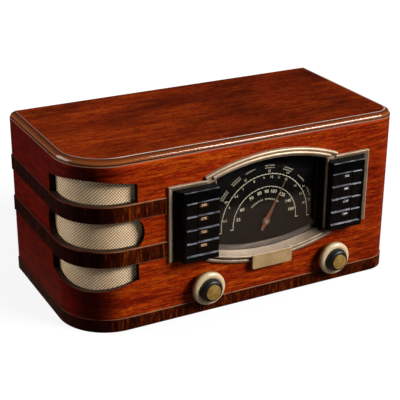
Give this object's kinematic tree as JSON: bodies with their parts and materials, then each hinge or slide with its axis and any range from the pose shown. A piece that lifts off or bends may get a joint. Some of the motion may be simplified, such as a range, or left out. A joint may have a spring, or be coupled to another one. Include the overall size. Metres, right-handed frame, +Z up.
{
  "type": "tabletop radio",
  "caption": "Tabletop radio in lacquered wood with a grille that wraps one corner, a round dial between two banks of push-button keys, and two knobs.",
  "frame": {"origin": "middle of the cabinet's footprint, on the table", "axes": "+X to the right as seen from the front, +Y towards the back, +Z up"},
  "size_m": [0.5128, 0.2774, 0.2525],
  "materials": {
    "side_veneer": "dark red-brown stained veneer under gloss lacquer",
    "front_veneer": "orange-brown stained veneer under gloss lacquer",
    "top_veneer": "brown stained veneer under worn lacquer",
    "dark_veneer": "dark striped veneer under gloss lacquer",
    "plain_plywood": "raw plywood and softwood",
    "grille_cloth": "coarse beige basket weave",
    "hardboard": "brown pressed board",
    "black_rubber": "moulded rubber",
    "plated_steel": "cadmium-plated sheet",
    "screw_steel": "nickel-plated screws",
    "black_enamel": "black enamelled steel",
    "paper_cone": "pressed paper pulp",
    "transformer_core": "varnished laminations",
    "can_aluminium": "drawn aluminium cans",
    "brown_phenolic": "brown phenolic sheet",
    "tube_glass": "blown glass",
    "lamp_glass": "small dial lamps",
    "dial_cord": "braided dial cord",
    "bushing_brass": "turned brass",
    "dial_black": "black printed dial plate",
    "dial_glass": "clear flat glass",
    "pointer_copper": "copper-coloured lacquer",
    "champagne_trim": "champagne lacquered metal",
    "black_bakelite": "polished black moulding",
    "ivory_plastic": "aged ivory moulding",
    "cap_brass": "lightly tarnished brass"
  },
  "bodies": {
    "cabinet": {"grille_wrap": "side_veneer", "front_panel": "front_veneer", "right_side": "side_veneer", "top_panel": "top_veneer", "bottom_panel": "plain_plywood", "cleats": "plain_plywood", "base_band": "dark_veneer", "lower_band": "dark_veneer", "upper_band": "dark_veneer", "grille_cloth": "grille_cloth", "back_cover": "hardboard", "back_screws": "screw_steel", "cord_grommet": "black_rubber", "loop_antenna": "brown_phenolic", "speaker_board": "plain_plywood", "speaker_frame": "black_enamel", "speaker_cone": "paper_cone", "speaker_magnet": "black_enamel", "output_transformer": "transformer_core", "chassis": "plated_steel", "power_transformer": "black_enamel", "filter_cans": "can_aluminium", "tube_sockets": "brown_phenolic", "tubes": "tube_glass", "if_cans": "can_aluminium", "gang_frame": "plated_steel", "gang_stators": "plated_steel", "dial_cord": "dial_cord", "shaft_bushings": "bushing_brass", "volume_control": "black_enamel", "dial_plate": "dial_black", "dial_glass": "dial_glass", "pilot_lamps": "lamp_glass", "arch_trim": "champagne_trim", "sill_trim": "champagne_trim", "name_tab": "champagne_trim", "bank_bezels": "champagne_trim", "left_key_housing": "black_bakelite", "right_key_housing": "black_bakelite", "key_switches": "brown_phenolic"},
    "volume_control_knob": {"volume_skirt": "ivory_plastic", "volume_knob": "black_bakelite", "volume_cap": "cap_brass", "volume_shaft": "plated_steel"},
    "tuning_control_knob": {"tuning_skirt": "ivory_plastic", "tuning_knob": "black_bakelite", "tuning_cap": "cap_brass", "tuning_shaft": "plated_steel"},
    "dial_movement": {"pointer": "pointer_copper", "dial_drum": "bushing_brass", "gang_rotor": "plated_steel"},
    "left_key_1": {"left_key_1": "black_bakelite"},
    "left_key_2": {"left_key_2": "black_bakelite"},
    "left_key_3": {"left_key_3": "black_bakelite"},
    "left_key_4": {"left_key_4": "black_bakelite"},
    "right_key_1": {"right_key_1": "black_bakelite"},
    "right_key_2": {"right_key_2": "black_bakelite"},
    "right_key_3": {"right_key_3": "black_bakelite"},
    "right_key_4": {"right_key_4": "black_bakelite"}
  },
  "joints": [
    {"name": "volume_turn", "type": "hinge", "parent": "cabinet", "child": "volume_control_knob", "pos_m": [-0.0643, -0.124, 0.04225], "axis": [0, 1, 0], "range_deg": [-150, 150]},
    {"name": "tuning_turn", "type": "hinge", "parent": "cabinet", "child": "tuning_control_knob", "pos_m": [0.1457, -0.124, 0.04225], "axis": [0, 1, 0], "range_deg": [-940, 499]},
    {"name": "pointer_turn", "type": "hinge", "parent": "cabinet", "child": "dial_movement", "pos_m": [0.0407, -0.124, 0.11405], "axis": [0, 1, 0], "range_deg": [-117.6, 62.4]},
    {"name": "left_key_1_press", "type": "slide", "parent": "cabinet", "child": "left_key_1", "axis": [0, 1, 0], "range_m": [0, 0.005], "stiffness_N_per_m": 400},
    {"name": "left_key_2_press", "type": "slide", "parent": "cabinet", "child": "left_key_2", "axis": [0, 1, 0], "range_m": [0, 0.005], "stiffness_N_per_m": 400},
    {"name": "left_key_3_press", "type": "slide", "parent": "cabinet", "child": "left_key_3", "axis": [0, 1, 0], "range_m": [0, 0.005], "stiffness_N_per_m": 400},
    {"name": "left_key_4_press", "type": "slide", "parent": "cabinet", "child": "left_key_4", "axis": [0, 1, 0], "range_m": [0, 0.005], "stiffness_N_per_m": 400},
    {"name": "right_key_1_press", "type": "slide", "parent": "cabinet", "child": "right_key_1", "axis": [0, 1, 0], "range_m": [0, 0.005], "stiffness_N_per_m": 400},
    {"name": "right_key_2_press", "type": "slide", "parent": "cabinet", "child": "right_key_2", "axis": [0, 1, 0], "range_m": [0, 0.005], "stiffness_N_per_m": 400},
    {"name": "right_key_3_press", "type": "slide", "parent": "cabinet", "child": "right_key_3", "axis": [0, 1, 0], "range_m": [0, 0.005], "stiffness_N_per_m": 400},
    {"name": "right_key_4_press", "type": "slide", "parent": "cabinet", "child": "right_key_4", "axis": [0, 1, 0], "range_m": [0, 0.005], "stiffness_N_per_m": 400}
  ],
  "couplings": [
    {"joint": "pointer_turn", "follows": "tuning_turn", "ratio": 0.125}
  ]
}
